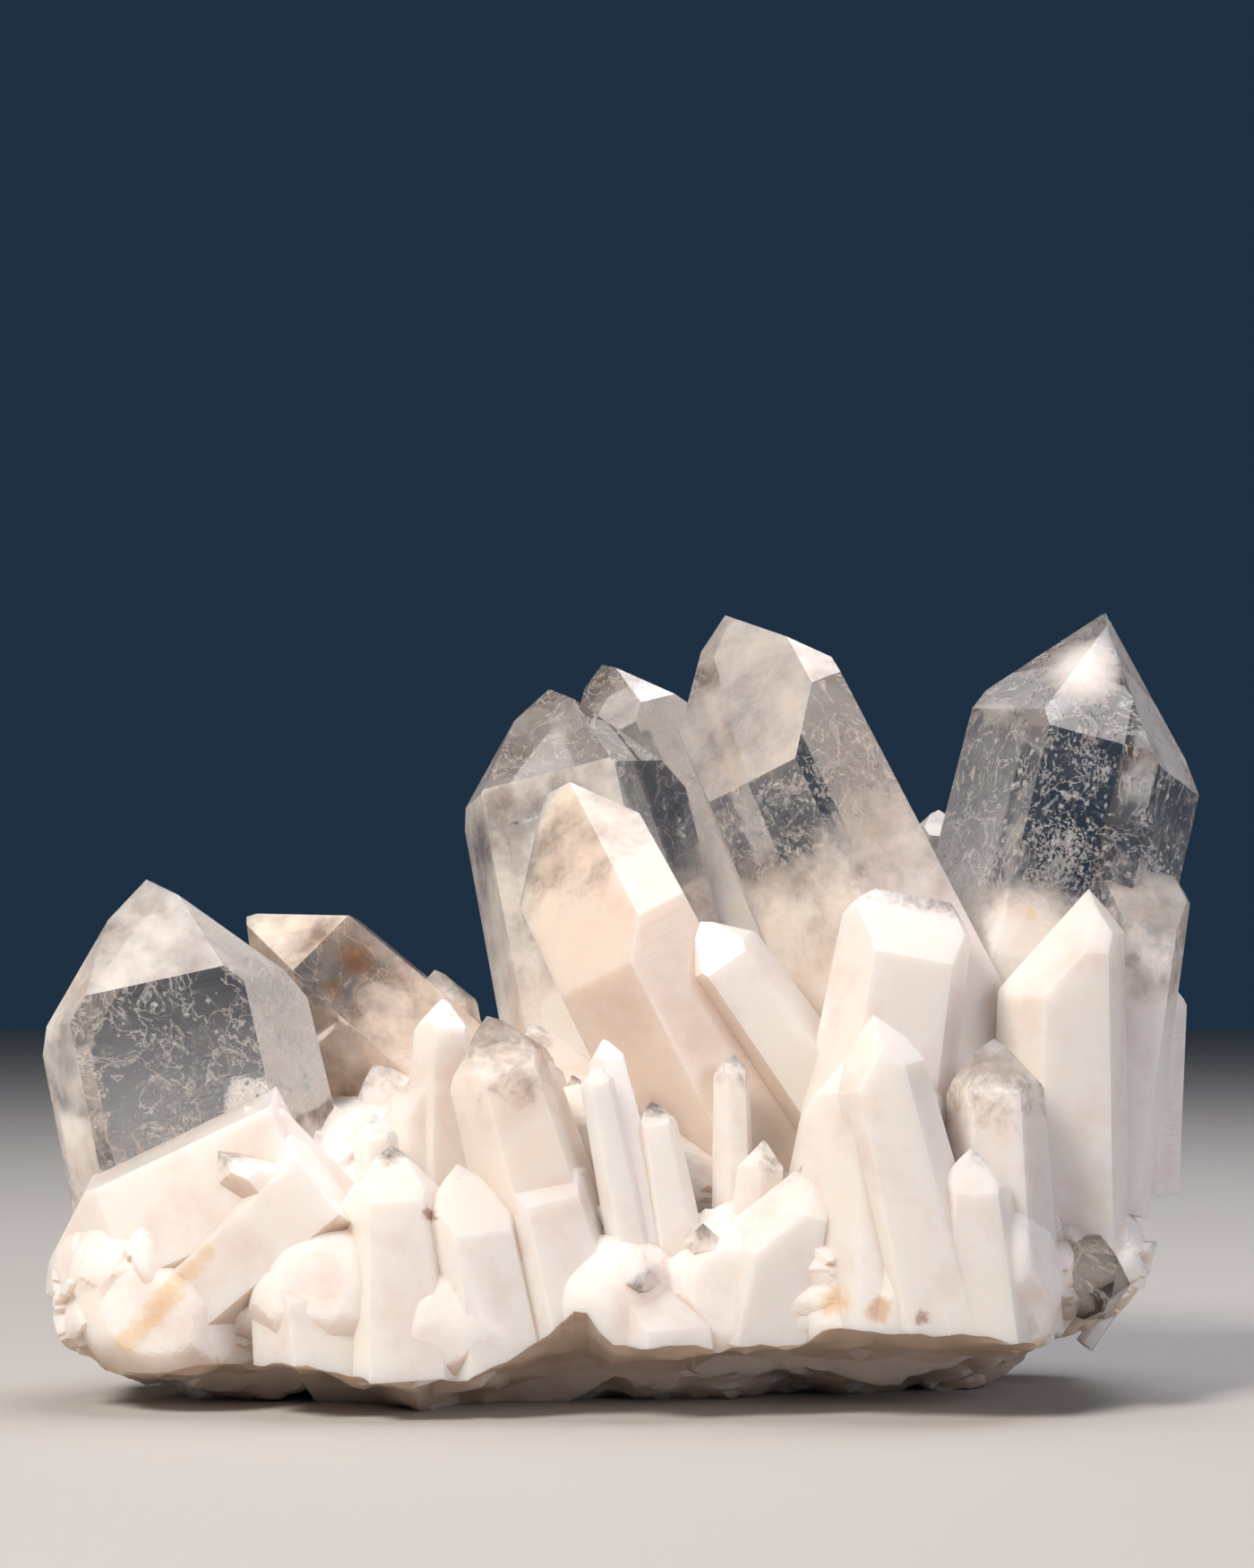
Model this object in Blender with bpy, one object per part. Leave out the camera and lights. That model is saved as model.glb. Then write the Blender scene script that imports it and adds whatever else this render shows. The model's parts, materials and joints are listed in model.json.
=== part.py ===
"""A quartz crystal cluster in metres: many points grown together on a rough milky base, in one solid."""

import math

import bmesh
import bpy
import numpy as np
from mathutils import Vector, noise

MM = 0.001

# Angles of quartz
CAP_TILT = math.radians(51.8)
SIDES = 6

# How unequal the side faces of one crystal are, as a share of its half width
SIDE_SPREAD = 0.07

# The level at which the stone was cut to stand, and the lowest a crystal reaches
STAND_LEVEL = 0.0
LOWEST_CRYSTAL = 1.5

# How far the six end faces stand off from the summit, as shares of the half width.
# They go round from the front face to the right.
CAPS = {
    "even": (0.0, 0.22, 0.04, 0.30, 0.0, 0.26),
    "point": (0.0, 0.08, 0.0, 0.25, 0.0, 0.10),
    "front": (0.0, 0.45, 0.62, 1.1, 0.80, 0.62),
    "right": (0.75, 0.0, 0.15, 1.0, 1.25, 1.1),
    "left": (0.75, 1.1, 1.25, 1.0, 0.15, 0.0),
    "wedge": (0.0, 0.8, 0.9, 0.05, 0.7, 0.85),
    "sheer": (0.0, 0.45, 1.55, 2.2, 2.4, 1.2),
    "long": (0.0, 0.69, 0.85, 1.6, 1.5, 0.99),
    "split": (0.0, -0.17, 0.03, 0.43, 0.23, 0.01),
    "roof": (1.6, 0.35, 0.9, 0.9, 0.5, 0.0),
}

# Crystals in millimetres, with +X to the right, +Y to the back and +Z up: name, end of the axis at the
# summit, end of the axis in the base, half width across the flats, depth as a share of the width, turn
# about the axis in degrees, cap, and how much each side face leans out towards the foot, in degrees.
TALL = (
    ("tall_centre", (11.5, 4, 94.6), (44.3, -1, 22), 10.7, 0.95, -30, "long", 2.6),
    ("tall_right", (61.2, 14, 95.0), (40.4, 6, 14), 13.0, 1.1, 2, "split", 0.4),
    ("left_large", (-58.0, -4, 61.3), (-46.4, -2, 8), 13.8, 0.70, 0, "even", 1.2),
    ("back_pair_a", (-10.2, 24, 86.0), (6, 14, 10), 12.7, 0.80, -12, "even", 1.2),
    ("back_pair_b", (-3.4, 34, 89.8), (30, 22, 10), 7.6, 1.0, -20, "even", 1.2),
    ("mid_centre", (-9.9, -6, 71.8), (21.6, -6, 10), 9.3, 1.0, -30, "sheer", 1.0),
)
MIDDLE = (
    ("left_back", (-47.6, 16, 57.0), (-8.6, 12, 23.6), 8.9, 0.9, 30, "point", 1.2),
    ("back_small", (-24.0, 14, 50.4), (-18, 12, 14), 3.9, 1.0, 14, "even", 1.2),
    ("white_blade", (-21.8, -12, 47.2), (-22, -15, 10), 2.9, 1.0, 20, "even", 2.5),
    ("front_left_centre", (-16.3, -20, 45.3), (-4.8, -23, 6), 5.4, 1.0, 12, "even", 3.0),
    ("tiny_back", (40.4, 34, 71.0), (37, 24, 26), 3.2, 1.0, 5, "even", 1.2),
    ("gap_stub", (48.2, 6, 61.6), (44, 2, 18), 5.2, 1.0, 10, "wedge", 3.0),
    ("front_wide", (33.4, -12, 59.4), (25.0, -17, 10), 7.0, 0.9, 8, "wedge", 2.2),
    ("sunlit", (27.4, -27, 45.4), (35.6, -27, 9), 4.5, 1.0, 0, "roof", 3.0),
    ("sunlit_left", (28.6, -20, 43.6), (29.0, -24, 8), 7.4, 0.9, 14, "even", 2.0),
    ("front_right", (42.4, -20, 42.7), (43.0, -23, 9), 4.9, 1.0, -6, "even", 2.5),
    ("front_right_milky", (39.0, -28, 30.4), (39.4, -27, 9), 4.2, 0.9, 4, "even", 9.0),
    ("smoky_end", (55.0, -25, 12.8), (50, -2, 20), 3.8, 1.0, 0, "point", 1.2),
    ("right_small", (59.5, 4, 69.4), (56.5, 2, 26), 4.5, 1.0, 24, "even", 1.2),
    ("right_behind", (62.6, -1, 62.5), (55.5, -4, 22), 5.3, 1.0, 10, "wedge", 1.2),
    ("right_large", (51.6, -10, 60.2), (51.2, -9, 12), 6.9, 1.0, 8, "left", 1.5),
    ("right_shadow", (62.6, 4, 50.6), (60.8, 5, 23.5), 5.2, 1.0, 0, "left", 1.2),
    ("crossing", (8.6, -12, 56.2), (34, -10, 20), 4.4, 1.0, 0, "even", 1.5),
)
SMALL = (
    ("needle_a", (-3.8, -24, 39.7), (2.3, -26, 9), 1.7, 1.0, 10, "even", 1.5),
    ("needle_b", (-2.8, -20, 42.6), (4.0, -23, 9), 2.1, 1.0, 25, "even", 4.0),
    ("needle_c", (2.8, -21, 35.4), (7.4, -24, 8), 2.4, 1.0, 5, "even", 3.0),
    ("needle_d", (12.2, -18, 40.9), (12.5, -20, 10), 1.9, 1.0, 15, "even", 1.2),
    ("bud", (15.8, -20, 31.0), (13.5, -22, 8), 2.6, 1.0, 30, "point", 1.2),
    ("block", (18.6, -24, 29.6), (14.0, -24, 8), 6.2, 0.9, 18, "left", 3.0),
    ("nub", (8.6, -29, 22.0), (9, -24, 13), 2.1, 1.0, 0, "point", 1.2),
    ("tip_out", (0.6, -32.5, 15.4), (3, -20, 18), 2.5, 1.0, 30, "point", 1.2),
    ("slim_left", (-29.3, -20, 34.0), (-27, -22, 6), 2.3, 1.0, 8, "even", 1.2),
    ("slim_left_back", (-25.6, -13, 39.6), (-22, -15, 6), 3.2, 1.0, 22, "left", 1.2),
    ("column_left", (-27.2, -24, 30.6), (-25.4, -26, 4), 5.2, 1.0, 6, "even", 6.0),
    ("yellow_chip", (-18.6, -26, 28.6), (-15.0, -26, 5), 4.8, 1.0, 16, "front", 5.0),
    ("column_low", (-21.0, -26, 20.0), (-20, -24, 3), 6.4, 1.0, 0, "front", 4.0),
    ("column_mid", (-11.6, -24, 32.5), (-5, -25, 6), 5.2, 1.0, 14, "front", 4.0),
    ("column_right", (2.9, -26, 22.0), (3.6, -26, 6), 6.6, 1.0, 20, "front", 3.5),
)
LYING = (
    ("left_lying", (-68.4, -13, 12.4), (-37, -15, 26.5), 10.4, 0.9, 20, "even", 1.2),
    ("left_lying_front", (-57.5, -18, 5.6), (-34, -22, 26), 5.8, 1.0, 8, "even", 2.0),
    ("left_ridge", (-46.6, -17, 33.2), (-27, -17, 12), 4.8, 1.0, 0, "left", 1.2),
    ("left_cross", (-45.6, -23, 31.2), (-28, -22, 12), 3.8, 1.0, 10, "right", 1.2),
    ("left_column", (-37.0, -22, 25.5), (-34, -23, 4), 7.0, 1.0, 12, "front", 4.0),
    ("left_end_back", (-64.0, 6, 22.0), (-36, 6, 18), 7.6, 0.9, 0, "even", 1.2),
)
BACK = (
    ("back_left_a", (-34.0, 32, 50.0), (-20, 18, 8), 6.2, 1.0, 40, "even", 1.2),
    ("back_left_b", (-50.0, 28, 36.0), (-26, 16, 10), 5.4, 0.9, 12, "even", 1.2),
    ("back_left_c", (-24.0, 42, 38.0), (-14, 18, 8), 5.8, 1.0, 30, "left", 1.2),
    ("back_mid_a", (-4.0, 44, 58.0), (2, 18, 8), 7.0, 0.9, 16, "even", 1.2),
    ("back_mid_b", (13.0, 46, 42.0), (8, 18, 8), 5.0, 1.0, 50, "right", 1.2),
    ("back_mid_c", (24.0, 40, 60.0), (18, 18, 8), 5.6, 1.0, 10, "even", 1.2),
    ("back_right_a", (38.0, 42, 46.0), (28, 16, 8), 6.0, 0.9, 20, "even", 1.2),
    ("back_right_b", (54.0, 34, 56.0), (38, 14, 8), 6.4, 1.0, 8, "even", 1.2),
    ("back_right_c", (61.0, 24, 36.0), (40, 10, 10), 5.6, 1.0, 44, "left", 1.2),
    ("back_low_a", (-12.0, 43, 20.0), (-8, 18, 12), 5.2, 1.0, 0, "even", 1.2),
    ("back_low_b", (26.0, 43, 22.0), (20, 16, 10), 5.0, 1.0, 25, "even", 1.2),
    ("back_low_c", (-40.0, 34, 18.0), (-22, 14, 12), 5.0, 1.0, 15, "even", 1.2),
    ("top_fill_a", (-31.0, 4, 39.0), (-18, 4, 8), 6.4, 1.0, 12, "even", 1.2),
    ("top_fill_b", (-12.0, 2, 44.0), (-2, 2, 8), 6.2, 1.0, 35, "even", 1.2),
    ("top_fill_c", (24.0, 2, 44.0), (20, 2, 8), 8.0, 1.0, 22, "front", 1.2),
    ("top_fill_d", (44.0, -2, 46.0), (38, -2, 8), 7.2, 1.0, 5, "even", 1.2),
)

# Rough lumps of the base in millimetres: centre, half sizes, seed
LUMPS = (
    ((-6.0, 7.0, 9.0), (42.0, 27.0, 13.0), 3),
    ((28.0, 8.0, 11.0), (32.0, 25.0, 12.5), 11),
    ((-43.0, -4.0, 12.5), (23.5, 20.0, 12.5), 23),
    ((-20.0, -15.0, 8.0), (20.0, 15.5, 11.0), 31),
    ((20.0, -14.0, 12.5), (26.0, 15.5, 8.5), 47),
    ((48.0, -6.0, 15.5), (13.5, 17.0, 9.5), 59),
    ((2.0, -16.0, 11.5), (17.0, 13.5, 8.0), 71),
    ((4.0, 1.0, 20.0), (50.0, 20.0, 19.0), 83),
    ((-34.0, 2.0, 20.0), (19.0, 16.0, 15.0), 97),
    ((-55.5, -13.0, 12.5), (12.5, 13.0, 11.0), 103),
    ((-20.0, -18.5, 13.0), (27.0, 10.0, 11.0), 109),
    ((23.0, -18.5, 14.0), (29.0, 10.5, 11.5), 127),
)
LUMP_SUBDIVISIONS = 4

# Flat breaks on a lump: how many, and how far from its middle the nearest and the farthest lie, as
# shares of its size
BREAKS = 18
BREAK_NEAR = 0.80
BREAK_FAR = 0.98

# Relief of the broken stone in millimetres: size of its waves, and how far they stand out
BROAD_WAVE = 13.0
BROAD_RELIEF = 2.2
FINE_WAVE = 4.2
FINE_RELIEF = 0.9

# The broken underside rises from the flat cut towards the rim. Along the front rim: place along X, level
# of the lowest stone seen from the front, and level of the rim above it, all in millimetres.
RIM = (
    (-75.0, 5.0, 9.0),
    (-55.0, 3.4, 5.0),
    (-47.0, 4.6, 6.5),
    (-35.0, 4.8, 6.0),
    (-29.0, 2.4, 4.0),
    (-24.0, -1.0, 3.6),
    (-18.0, 0.8, 5.4),
    (-12.0, 3.0, 7.6),
    (-5.0, 4.8, 12.0),
    (-2.0, 4.9, 7.8),
    (7.5, 4.7, 9.0),
    (14.0, 6.4, 8.2),
    (25.0, 6.6, 10.0),
    (36.0, 6.0, 10.0),
    (49.0, 6.6, 8.6),
    (56.0, 8.6, 10.0),
    (75.0, 12.0, 14.0),
)
RIM_FRONT = -31.0
RIM_INNER = -17.0
CUT_FRONT = -12.0
CUT_BACK = 26.0
RIM_BACK = 44.0
BACK_RISE = 8.0
CUT_SIDE = 52.0
SIDE_RISE = 0.45

# The underside's grid in millimetres: first and last place along X and Y, distance between points, level
# well below the stone, level under the flat cut, and the level above which the break is rough
UNDERSIDE_X = (-78.0, 78.0)
UNDERSIDE_Y = (-48.0, 54.0)
UNDERSIDE_STEP = 3.0
UNDERSIDE_FLOOR = -40.0
UNDER_CUT = -2.0
ROUGH_ABOVE = -1.0

# Half the sides of the block below the stand level, and its depth, in millimetres
GROUND_HALF = 120.0
GROUND_DEPTH = 60.0


def unit(vector):
    """The vector at length one."""
    return np.asarray(vector, float) / np.linalg.norm(vector)


def axis_frame(tip, foot):
    """The crystal's own directions: along the axis, to its front and to its right."""
    along = unit(np.subtract(tip, foot))
    guide = np.array((0.0, -1.0, 0.0))
    if abs(along @ guide) > 0.8:
        guide = np.array((0.0, 0.0, 1.0))
    front = unit(guide - (guide @ along) * along)
    return along, front, np.cross(along, front)


def crystal_planes(row, seed):
    """Outward normals and offsets of the side faces, the end faces and the foot of one crystal."""
    name, tip, foot, half_width, flat, turn, cap, taper = row
    along, front, right = axis_frame(tip, foot)
    lean = math.radians(taper)
    spread = np.random.default_rng(seed).uniform(-SIDE_SPREAD, SIDE_SPREAD, SIDES)
    tip, foot = np.asarray(tip, float), np.asarray(foot, float)
    shoulder = tip - along * half_width * math.tan(CAP_TILT)
    normals, offsets = [], []
    for k in range(SIDES):
        angle = math.radians(360 / SIDES * k + turn)
        out = math.cos(angle) * front + math.sin(angle) * right
        reach = half_width * (1 + spread[k]) * (flat if k % 3 == 0 else 1)
        side = math.cos(lean) * out + math.sin(lean) * along
        normals.append(side)
        offsets.append(side @ (shoulder + out * reach))
        end = math.cos(CAP_TILT) * along + math.sin(CAP_TILT) * out
        normals.append(end)
        offsets.append(end @ (tip + along * CAPS[cap][k] * half_width))
    normals.append(-along)
    offsets.append(-along @ foot)
    return np.array(normals), np.array(offsets)


def corners_of(normals, offsets):
    """Corners of the solid that lies inside every plane."""
    found = []
    count = len(normals)
    for i in range(count):
        for j in range(i + 1, count):
            for k in range(j + 1, count):
                matrix = normals[[i, j, k]]
                if abs(np.linalg.det(matrix)) < 1e-6:
                    continue
                point = np.linalg.solve(matrix, offsets[[i, j, k]])
                if (normals @ point <= offsets + 1e-6).all():
                    found.append(point)
    return np.unique(np.round(found, 5), axis=0)


def crystal_corners(row, seed):
    """Corners in millimetres of one crystal, with its summit at the level that the row gives."""
    normals, offsets = crystal_planes(row, seed)
    corners = corners_of(normals, offsets)
    along = axis_frame(row[1], row[2])[0]
    rise = (corners @ along).max() - np.asarray(row[1], float) @ along
    offsets[:-1] -= rise * (normals[:-1] @ along)
    normals = np.vstack((normals, (0.0, 0.0, -1.0)))
    offsets = np.append(offsets, -LOWEST_CRYSTAL)
    return corners_of(normals, offsets)


def mesh_object(name, mesh_builder):
    """A new object in the scene that holds the mesh."""
    mesh = bpy.data.meshes.new(name)
    mesh_builder.to_mesh(mesh)
    mesh_builder.free()
    made = bpy.data.objects.new(name, mesh)
    bpy.context.collection.objects.link(made)
    return made


def make_crystal(row, seed):
    """One crystal with flat faces, in metres."""
    work = bmesh.new()
    for corner in crystal_corners(row, seed):
        work.verts.new(Vector(corner) * MM)
    hull = bmesh.ops.convex_hull(work, input=work.verts)
    inner = [item for item in hull["geom_interior"] if isinstance(item, bmesh.types.BMVert)]
    bmesh.ops.delete(work, geom=inner, context="VERTS")
    bmesh.ops.dissolve_limit(work, angle_limit=math.radians(0.5), verts=work.verts, edges=work.edges)
    bmesh.ops.recalc_face_normals(work, faces=work.faces)
    return mesh_object(row[0], work)


def break_planes(seed):
    """Outward directions and distances of the flat breaks on a lump of size one."""
    chance = np.random.default_rng(seed)
    ways = chance.normal(size=(BREAKS, 3))
    ways /= np.linalg.norm(ways, axis=1)[:, None]
    return ways, chance.uniform(BREAK_NEAR, BREAK_FAR, BREAKS)


def broken_reach(way, planes):
    """How far the lump reaches this way before its surface or a break, as a share of its size."""
    ways, distances = planes
    facing = ways @ np.array(way)
    return min(1.0, (distances / np.maximum(facing, 1e-6)).min())


def make_lump(number, centre, half_sizes, seed):
    """A rough lump of milky quartz with flat breaks and shallow hollows."""
    work = bmesh.new()
    bmesh.ops.create_icosphere(work, subdivisions=LUMP_SUBDIVISIONS, radius=1.0)
    centre, shift = Vector(centre), Vector((seed * 3.7, seed * 1.9, seed * 5.3))
    planes = break_planes(seed)
    for vert in work.verts:
        way = vert.co.normalized()
        reach = broken_reach(way, planes)
        point = Vector(half * part * reach for half, part in zip(half_sizes, way)) + centre
        outward = Vector(part / half for half, part in zip(half_sizes, way)).normalized()
        broad = noise.noise(point / BROAD_WAVE + shift) * BROAD_RELIEF
        fine = noise.noise(point / FINE_WAVE - shift) * FINE_RELIEF
        vert.co = (point + outward * (broad + fine)) * MM
    return mesh_object(f"lump_{number}", work)


def rim_levels(x):
    """The level of the lowest stone and of the rim at this place along the front."""
    places, low, high = np.array(RIM).T
    return np.interp(x, places, low), np.interp(x, places, high)


def underside_level(x, y):
    """How high the broken underside lies here; below zero where the stone is cut flat."""
    low, high = rim_levels(x)
    front = np.interp(y, (RIM_FRONT, RIM_INNER, CUT_FRONT), (high, low, UNDER_CUT))
    back = np.interp(y, (CUT_BACK, RIM_BACK), (UNDER_CUT, BACK_RISE))
    side = (abs(x) - CUT_SIDE) * SIDE_RISE + UNDER_CUT
    point = Vector((x, y, 0.0))
    rough = noise.noise(point / FINE_WAVE) * FINE_RELIEF + noise.noise(point / BROAD_WAVE) * FINE_RELIEF
    level = max(front, back, side)
    return level + rough if level > ROUGH_ABOVE else level


def grid_places(ends):
    """Evenly spaced places from the first to the last end."""
    first, last = ends
    return np.linspace(first, last, round((last - first) / UNDERSIDE_STEP) + 1)


def make_underside():
    """Everything below the broken underside, as a solid to take away."""
    xs = grid_places(UNDERSIDE_X)
    ys = grid_places(UNDERSIDE_Y)
    work = bmesh.new()
    top = [[work.verts.new(Vector((x, y, underside_level(x, y))) * MM) for y in ys] for x in xs]
    floor = [[work.verts.new(Vector((x, y, UNDERSIDE_FLOOR)) * MM) for y in ys] for x in xs]
    for i in range(len(xs) - 1):
        for j in range(len(ys) - 1):
            for sheet in (top, floor):
                quad = (sheet[i][j], sheet[i + 1][j], sheet[i + 1][j + 1], sheet[i][j + 1])
                work.faces.new(quad)
    rims = [[(i, 0), (i + 1, 0)] for i in range(len(xs) - 1)]
    rims += [[(i, len(ys) - 1), (i + 1, len(ys) - 1)] for i in range(len(xs) - 1)]
    rims += [[(0, j), (0, j + 1)] for j in range(len(ys) - 1)]
    rims += [[(len(xs) - 1, j), (len(xs) - 1, j + 1)] for j in range(len(ys) - 1)]
    for (a, b), (c, d) in rims:
        work.faces.new((top[a][b], top[c][d], floor[c][d], floor[a][b]))
    bmesh.ops.triangulate(work, faces=work.faces)
    bmesh.ops.recalc_face_normals(work, faces=work.faces)
    return mesh_object("underside", work)


def box_object(name, low, high):
    """A box between two corners given in millimetres."""
    work = bmesh.new()
    bmesh.ops.create_cube(work, size=1.0)
    low, high = Vector(low), Vector(high)
    for vert in work.verts:
        vert.co = Vector(a + (p + 0.5) * (b - a) for a, b, p in zip(low, high, vert.co)) * MM
    return mesh_object(name, work)


def boolean(target, other, operation):
    """Joins the other object to the target, or takes it away, and removes it."""
    modifier = target.modifiers.new(operation.lower(), "BOOLEAN")
    modifier.operation = operation
    modifier.solver = "EXACT"
    modifier.object = other
    bpy.context.view_layer.objects.active = target
    bpy.ops.object.modifier_apply(modifier=modifier.name)
    bpy.data.objects.remove(other)


def centre_over_origin(target):
    """Moves the mesh so that the middle of its box stands over the origin, and the cut lies at zero."""
    points = [vert.co.copy() for vert in target.data.vertices]
    low = Vector(min(point[i] for point in points) for i in range(3))
    high = Vector(max(point[i] for point in points) for i in range(3))
    middle = (low + high) / 2
    middle.z = low.z
    for vert in target.data.vertices:
        vert.co -= middle


def milky_quartz():
    """Warm white quartz, glassy where a crystal face is clean."""
    material = bpy.data.materials.new("milky_quartz")
    material.use_nodes = True
    shader = material.node_tree.nodes["Principled BSDF"]
    shader.inputs["Base Color"].default_value = (0.86, 0.80, 0.74, 1.0)
    shader.inputs["Roughness"].default_value = 0.22
    shader.inputs["Metallic"].default_value = 0.0
    return material


def all_rows():
    """Every crystal of the cluster in one list."""
    return TALL + MIDDLE + SMALL + LYING + BACK


def clear_scene():
    for old in list(bpy.data.objects):
        bpy.data.objects.remove(old)


def build():
    clear_scene()
    cluster = make_lump(0, *LUMPS[0])
    for number, lump in enumerate(LUMPS[1:], 1):
        boolean(cluster, make_lump(number, *lump), "UNION")
    for number, row in enumerate(all_rows()):
        boolean(cluster, make_crystal(row, number), "UNION")
    boolean(cluster, make_underside(), "DIFFERENCE")
    low = (-GROUND_HALF, -GROUND_HALF, -GROUND_DEPTH)
    ground = box_object("ground", low, (GROUND_HALF, GROUND_HALF, STAND_LEVEL))
    boolean(cluster, ground, "DIFFERENCE")
    centre_over_origin(cluster)
    cluster.name = "quartz_cluster"
    cluster.data.materials.clear()
    cluster.data.materials.append(milky_quartz())


if __name__ == "__main__":
    build()
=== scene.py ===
"""A quartz crystal cluster: clear to milky points that grew together on a rough, broken base."""

import json
import math

import bmesh
import bpy
import numpy as np
from mathutils import Matrix, Vector, noise

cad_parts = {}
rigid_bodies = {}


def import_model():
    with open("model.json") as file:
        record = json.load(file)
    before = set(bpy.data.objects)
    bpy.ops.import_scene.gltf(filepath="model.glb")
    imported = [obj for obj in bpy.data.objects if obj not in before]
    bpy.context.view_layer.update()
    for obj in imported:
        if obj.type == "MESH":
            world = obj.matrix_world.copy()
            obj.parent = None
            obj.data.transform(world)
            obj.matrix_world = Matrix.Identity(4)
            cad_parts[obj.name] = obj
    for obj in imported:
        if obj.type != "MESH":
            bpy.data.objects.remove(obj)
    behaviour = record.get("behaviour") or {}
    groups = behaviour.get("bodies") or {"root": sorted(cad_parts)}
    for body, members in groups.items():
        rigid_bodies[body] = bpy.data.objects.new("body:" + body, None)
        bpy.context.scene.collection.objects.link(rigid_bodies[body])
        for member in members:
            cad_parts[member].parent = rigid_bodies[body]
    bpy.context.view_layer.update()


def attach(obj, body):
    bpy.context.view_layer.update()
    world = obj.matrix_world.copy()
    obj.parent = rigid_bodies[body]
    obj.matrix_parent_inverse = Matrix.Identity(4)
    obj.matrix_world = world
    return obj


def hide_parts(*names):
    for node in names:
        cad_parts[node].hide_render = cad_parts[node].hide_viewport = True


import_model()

MM = 0.001

# Angles of quartz
CAP_TILT = math.radians(51.8)
SIDES = 6

# How unequal the side faces of one crystal are, as a share of its half width
SIDE_SPREAD = 0.07

# The level at which the stone was cut to stand, and the lowest a crystal reaches
STAND_LEVEL = 0.0
LOWEST_CRYSTAL = 1.5

# How far the six end faces stand off from the summit, as shares of the half width.
# They go round from the front face to the right.
CAPS = {
    "even": (0.0, 0.22, 0.04, 0.30, 0.0, 0.26),
    "point": (0.0, 0.08, 0.0, 0.25, 0.0, 0.10),
    "front": (0.0, 0.45, 0.62, 1.1, 0.80, 0.62),
    "right": (0.75, 0.0, 0.15, 1.0, 1.25, 1.1),
    "left": (0.75, 1.1, 1.25, 1.0, 0.15, 0.0),
    "wedge": (0.0, 0.8, 0.9, 0.05, 0.7, 0.85),
    "sheer": (0.0, 0.45, 1.55, 2.2, 2.4, 1.2),
    "long": (0.0, 0.69, 0.85, 1.6, 1.5, 0.99),
    "split": (0.0, -0.17, 0.03, 0.43, 0.23, 0.01),
    "roof": (1.6, 0.35, 0.9, 0.9, 0.5, 0.0),
}

# Crystals in millimetres, with +X to the right, +Y to the back and +Z up: name, end of the axis at the
# summit, end of the axis in the base, half width across the flats, depth as a share of the width, turn
# about the axis in degrees, cap, and how much each side face leans out towards the foot, in degrees.
TALL = (
    ("tall_centre", (11.5, 4, 94.6), (44.3, -1, 22), 10.7, 0.95, -30, "long", 2.6),
    ("tall_right", (61.2, 14, 95.0), (40.4, 6, 14), 13.0, 1.1, 2, "split", 0.4),
    ("left_large", (-58.0, -4, 61.3), (-46.4, -2, 8), 13.8, 0.70, 0, "even", 1.2),
    ("back_pair_a", (-10.2, 24, 86.0), (6, 14, 10), 12.7, 0.80, -12, "even", 1.2),
    ("back_pair_b", (-3.4, 34, 89.8), (30, 22, 10), 7.6, 1.0, -20, "even", 1.2),
    ("mid_centre", (-9.9, -6, 71.8), (21.6, -6, 10), 9.3, 1.0, -30, "sheer", 1.0),
)
MIDDLE = (
    ("left_back", (-47.6, 16, 57.0), (-8.6, 12, 23.6), 8.9, 0.9, 30, "point", 1.2),
    ("back_small", (-24.0, 14, 50.4), (-18, 12, 14), 3.9, 1.0, 14, "even", 1.2),
    ("white_blade", (-21.8, -12, 47.2), (-22, -15, 10), 2.9, 1.0, 20, "even", 2.5),
    ("front_left_centre", (-16.3, -20, 45.3), (-4.8, -23, 6), 5.4, 1.0, 12, "even", 3.0),
    ("tiny_back", (40.4, 34, 71.0), (37, 24, 26), 3.2, 1.0, 5, "even", 1.2),
    ("gap_stub", (48.2, 6, 61.6), (44, 2, 18), 5.2, 1.0, 10, "wedge", 3.0),
    ("front_wide", (33.4, -12, 59.4), (25.0, -17, 10), 7.0, 0.9, 8, "wedge", 2.2),
    ("sunlit", (27.4, -27, 45.4), (35.6, -27, 9), 4.5, 1.0, 0, "roof", 3.0),
    ("sunlit_left", (28.6, -20, 43.6), (29.0, -24, 8), 7.4, 0.9, 14, "even", 2.0),
    ("front_right", (42.4, -20, 42.7), (43.0, -23, 9), 4.9, 1.0, -6, "even", 2.5),
    ("front_right_milky", (39.0, -28, 30.4), (39.4, -27, 9), 4.2, 0.9, 4, "even", 9.0),
    # The lower right end lies in shadow, and the grey painted on it is painted shade (the last entry of the stains)
    ("smoky_end", (55.0, -25, 12.8), (50, -2, 20), 3.8, 1.0, 0, "point", 1.2),
    ("right_small", (59.5, 4, 69.4), (56.5, 2, 26), 4.5, 1.0, 24, "even", 1.2),
    ("right_behind", (62.6, -1, 62.5), (55.5, -4, 22), 5.3, 1.0, 10, "wedge", 1.2),
    ("right_large", (51.6, -10, 60.2), (51.2, -9, 12), 6.9, 1.0, 8, "left", 1.5),
    ("right_shadow", (62.6, 4, 50.6), (60.8, 5, 23.5), 5.2, 1.0, 0, "left", 1.2),
    ("crossing", (8.6, -12, 56.2), (34, -10, 20), 4.4, 1.0, 0, "even", 1.5),
)
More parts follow.
